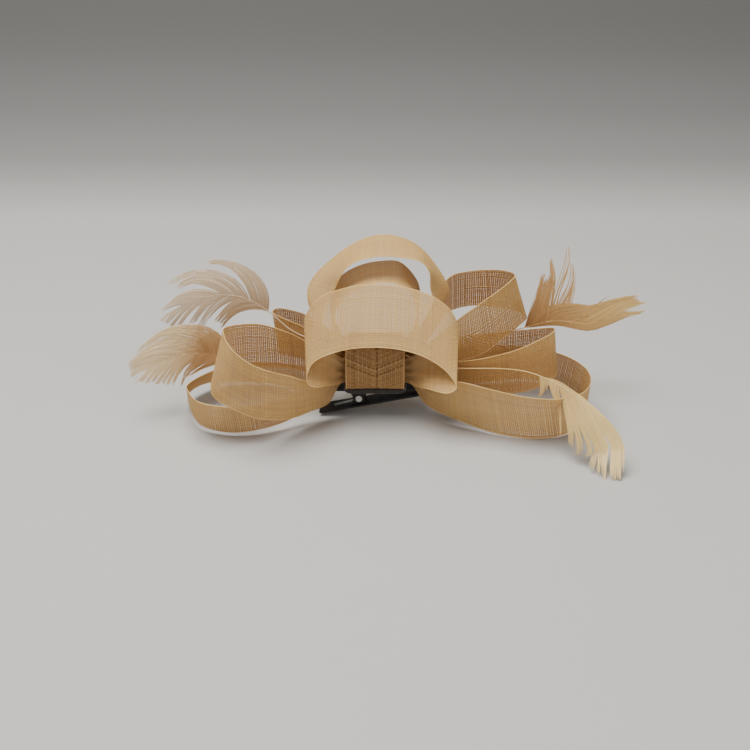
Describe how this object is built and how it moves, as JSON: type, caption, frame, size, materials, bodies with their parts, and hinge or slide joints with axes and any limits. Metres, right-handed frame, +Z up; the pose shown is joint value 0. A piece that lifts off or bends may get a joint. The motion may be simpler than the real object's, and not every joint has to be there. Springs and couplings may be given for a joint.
{
  "type": "fascinator headpiece",
  "caption": "Hair ornament: stiffened woven ribbon loops and feathers gathered in a ribbon-wrapped knot on a felt pad, worn by a sprung hair clip with a swinging jaw.",
  "frame": {"origin": "under the middle of the knot, on the surface that the lowest loops stand on, which is where the headpiece sits on the head", "axes": "+Z up out of the head, +X to the right of the bow seen from its front, -Y to the front"},
  "size_m": [0.2025, 0.0866, 0.0673],
  "materials": {
    "ribbon": "open plain weave of stiffened plant fibre, with a bright selvedge",
    "wrap_ribbon": "the same ribbon, doubled and drawn tight",
    "thread": "twisted sewing thread",
    "felt": "dark pressed felt",
    "clip_enamel": "dark enamel on pressed steel",
    "steel": "drawn steel wire",
    "quill": "dyed feather quill, smooth and slightly glossy",
    "left_feather": "dyed feather barbs, soft sheen",
    "amber_feather": "dyed feather barbs, soft sheen",
    "cream_feather": "dyed feather barbs, soft sheen"
  },
  "bodies": {
    "headpiece": {"front_arch": "ribbon", "top_arch": "ribbon", "inner_arch": "ribbon", "right_upper": "ribbon", "right_middle": "ribbon", "right_lower": "ribbon", "left_lower": "ribbon", "left_middle": "ribbon", "left_upper": "ribbon", "centre_wrap": "wrap_ribbon", "binding_thread": "thread", "felt_pad": "felt", "clip_top_arm": "clip_enamel", "clip_pin": "steel", "clip_spring": "steel", "stitches": "thread", "left_upper_quill": "quill", "left_lower_quill": "quill", "right_upper_quill": "quill", "right_lower_quill": "quill", "left_upper_vane": "left_feather", "left_lower_vane": "left_feather", "right_upper_vane": "amber_feather", "right_lower_vane": "cream_feather"},
    "clip_jaw": {"clip_bottom_arm": "clip_enamel"}
  },
  "joints": [
    {"name": "clip_open", "type": "hinge", "parent": "headpiece", "child": "clip_jaw", "pos_m": [-0.0065, 0.001, 0.00805], "axis": [0, 1, 0], "range_deg": [0, 25], "stiffness_Nm_per_rad": 0.08, "springref_deg": -28.65, "deforming": ["clip_spring"]}
  ]
}
